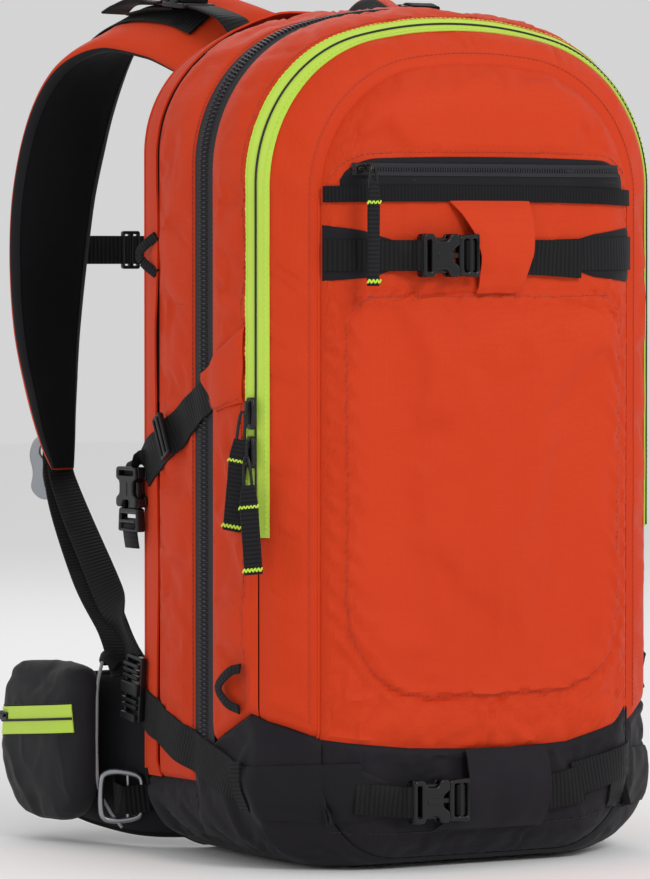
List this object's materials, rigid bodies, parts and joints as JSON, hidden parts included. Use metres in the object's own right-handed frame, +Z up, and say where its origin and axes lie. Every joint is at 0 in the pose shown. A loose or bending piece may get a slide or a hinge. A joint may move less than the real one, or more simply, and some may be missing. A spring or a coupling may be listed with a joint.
{
  "type": "ski backpack",
  "caption": "Ski touring backpack with an airbag bay, padded shoulder straps, a hip belt with a pocket, zipped front and gear straps.",
  "frame": {"origin": "centre of the width on the flat base, under the middle of the pack", "axes": "+Z up, -Y towards the outer front face, +Y towards the wearer, +X to the wearer's right"},
  "size_m": [0.3607, 0.4157, 0.5724],
  "materials": {
    "orange_fabric": "coated ripstop nylon, faint sheen",
    "black_fabric": "coarse packcloth, matt",
    "mesh": "spacer mesh over foam",
    "dark_zip": "woven tape with moulded teeth",
    "lime_zip": "woven tape with coil teeth",
    "webbing": "ribbed polypropylene webbing",
    "plastic": "moulded acetal, satin",
    "metal": "black painted die casting",
    "bright_metal": "satin metal",
    "sheet_plastic": "plain sheet",
    "airbag_fabric": "thin coated nylon"
  },
  "bodies": {
    "pack": {"base_boot": "black_fabric", "back_shell": "orange_fabric", "middle_shell": "orange_fabric", "front_shell": "orange_fabric", "back_panel": "mesh", "main_zipper": "dark_zip", "lime_zipper": "lime_zip", "top_pocket_zipper": "dark_zip", "burst_zippers": "dark_zip", "top_pocket_panel": "black_fabric", "front_tabs": "black_fabric", "front_straps": "webbing", "front_buckle_female": "plastic", "base_straps": "webbing", "base_buckle_female": "plastic", "side_tabs": "orange_fabric", "side_straps": "webbing", "lower_wing_straps": "black_fabric", "side_buckle_females": "plastic", "gear_loops": "webbing", "edge_loops": "webbing", "lower_ladder_locks": "plastic", "lower_webbings": "webbing", "back_pads": "mesh", "frame_sheet": "sheet_plastic", "stays": "bright_metal", "airbag": "airbag_fabric", "gas_cylinder": "bright_metal", "valve": "plastic"},
    "main_slider": {"main_slider": "metal"},
    "main_pull": {"main_pull": "webbing"},
    "lime_slider_upper": {"lime_slider_upper": "metal"},
    "lime_pull_upper": {"lime_pull_upper": "webbing"},
    "lime_slider_lower": {"lime_slider_lower": "metal"},
    "lime_pull_lower": {"lime_pull_lower": "webbing"},
    "top_slider": {"top_pocket_slider": "metal"},
    "top_pull": {"top_pocket_pull": "webbing"},
    "front_male": {"front_buckle_male": "plastic"},
    "base_male": {"base_buckle_male": "plastic"},
    "side_male_left": {"side_buckle_male_left": "plastic"},
    "side_male_right": {"side_buckle_male_right": "plastic"},
    "shoulder_left": {"shoulder_strap_left": "orange_fabric", "load_lifter_left": "webbing", "strap_hook": "bright_metal"},
    "shoulder_right": {"shoulder_strap_right": "orange_fabric", "load_lifter_right": "webbing"},
    "sternum": {"sternum_webbing_left": "webbing", "sternum_buckle_female": "plastic"},
    "sternum_male": {"sternum_buckle_male": "plastic", "sternum_webbing_right": "webbing"},
    "hip_left": {"hip_wing_left": "black_fabric", "hip_pocket": "black_fabric", "hip_zipper": "lime_zip", "hip_d_ring_left": "bright_metal", "hip_buckle_left": "bright_metal"},
    "hip_slider": {"hip_slider": "metal"},
    "hip_right": {"hip_wing_right": "black_fabric", "hip_d_ring_right": "bright_metal", "hip_buckle_right": "bright_metal"},
    "haul_handle": {"haul_handle": "webbing"}
  },
  "joints": [
    {"name": "main_zip_slide", "type": "slide", "parent": "pack", "child": "main_slider", "axis": [0, 0, 1], "range_m": [0, 0.165]},
    {"name": "main_pull_swing", "type": "hinge", "parent": "main_slider", "child": "main_pull", "pos_m": [0.16355, 0.017, 0.13], "axis": [0, -1, 0], "range_deg": [0, 100]},
    {"name": "lime_upper_slide", "type": "slide", "parent": "pack", "child": "lime_slider_upper", "axis": [0, 0, 1], "range_m": [0, 0.13]},
    {"name": "lime_upper_pull_swing", "type": "hinge", "parent": "lime_slider_upper", "child": "lime_pull_upper", "pos_m": [-0.15855, -0.039, 0.296], "axis": [0, 1, 0], "range_deg": [0, 100]},
    {"name": "lime_lower_slide", "type": "slide", "parent": "pack", "child": "lime_slider_lower", "axis": [0, 0, 1], "range_m": [-0.045, 0]},
    {"name": "lime_lower_pull_swing", "type": "hinge", "parent": "lime_slider_lower", "child": "lime_pull_lower", "pos_m": [-0.15855, -0.051, 0.263], "axis": [0, 1, 0], "range_deg": [0, 100]},
    {"name": "top_pocket_slide", "type": "slide", "parent": "pack", "child": "top_slider", "axis": [1, 0, 0], "range_m": [0, 0.175]},
    {"name": "top_pull_swing", "type": "hinge", "parent": "top_slider", "child": "top_pull", "pos_m": [-0.098, -0.106, 0.453], "axis": [-1, 0, 0], "range_deg": [0, 100]},
    {"name": "front_buckle_release", "type": "slide", "parent": "pack", "child": "front_male", "axis": [1, 0, 0], "range_m": [0, 0.02]},
    {"name": "base_buckle_release", "type": "slide", "parent": "pack", "child": "base_male", "axis": [1, 0, 0], "range_m": [0, 0.02]},
    {"name": "side_buckle_release_left", "type": "slide", "parent": "pack", "child": "side_male_left", "axis": [0, 0, -1], "range_m": [0, 0.02]},
    {"name": "side_buckle_release_right", "type": "slide", "parent": "pack", "child": "side_male_right", "axis": [0, 0, -1], "range_m": [0, 0.02]},
    {"name": "shoulder_left_swing", "type": "hinge", "parent": "pack", "child": "shoulder_left", "pos_m": [0, 0.106, 0.543], "axis": [1, 0, 0], "range_deg": [0, 10]},
    {"name": "shoulder_right_swing", "type": "hinge", "parent": "pack", "child": "shoulder_right", "pos_m": [0, 0.106, 0.543], "axis": [1, 0, 0], "range_deg": [0, 10]},
    {"name": "sternum_height", "type": "slide", "parent": "shoulder_left", "child": "sternum", "axis": [0, 0, 1], "range_m": [-0.03, 0.03]},
    {"name": "sternum_release", "type": "slide", "parent": "sternum", "child": "sternum_male", "axis": [1, 0, 0], "range_m": [0, 0.02]},
    {"name": "hip_left_fold", "type": "hinge", "parent": "pack", "child": "hip_left", "pos_m": [-0.102, 0.107, 0.062], "axis": [0, 0, 1], "range_deg": [-20, 10]},
    {"name": "hip_zip_slide", "type": "slide", "parent": "hip_left", "child": "hip_slider", "axis": [0, 1, 0], "range_m": [-0.075, 0]},
    {"name": "hip_right_fold", "type": "hinge", "parent": "pack", "child": "hip_right", "pos_m": [0.102, 0.107, 0.062], "axis": [0, 0, -1], "range_deg": [-20, 10]},
    {"name": "haul_handle_lift", "type": "hinge", "parent": "pack", "child": "haul_handle", "pos_m": [0, 0.107, 0.546], "axis": [1, 0, 0], "range_deg": [0, 90]}
  ],
  "couplings": [
    {"joint": "shoulder_right_swing", "follows": "shoulder_left_swing", "ratio": 1}
  ]
}
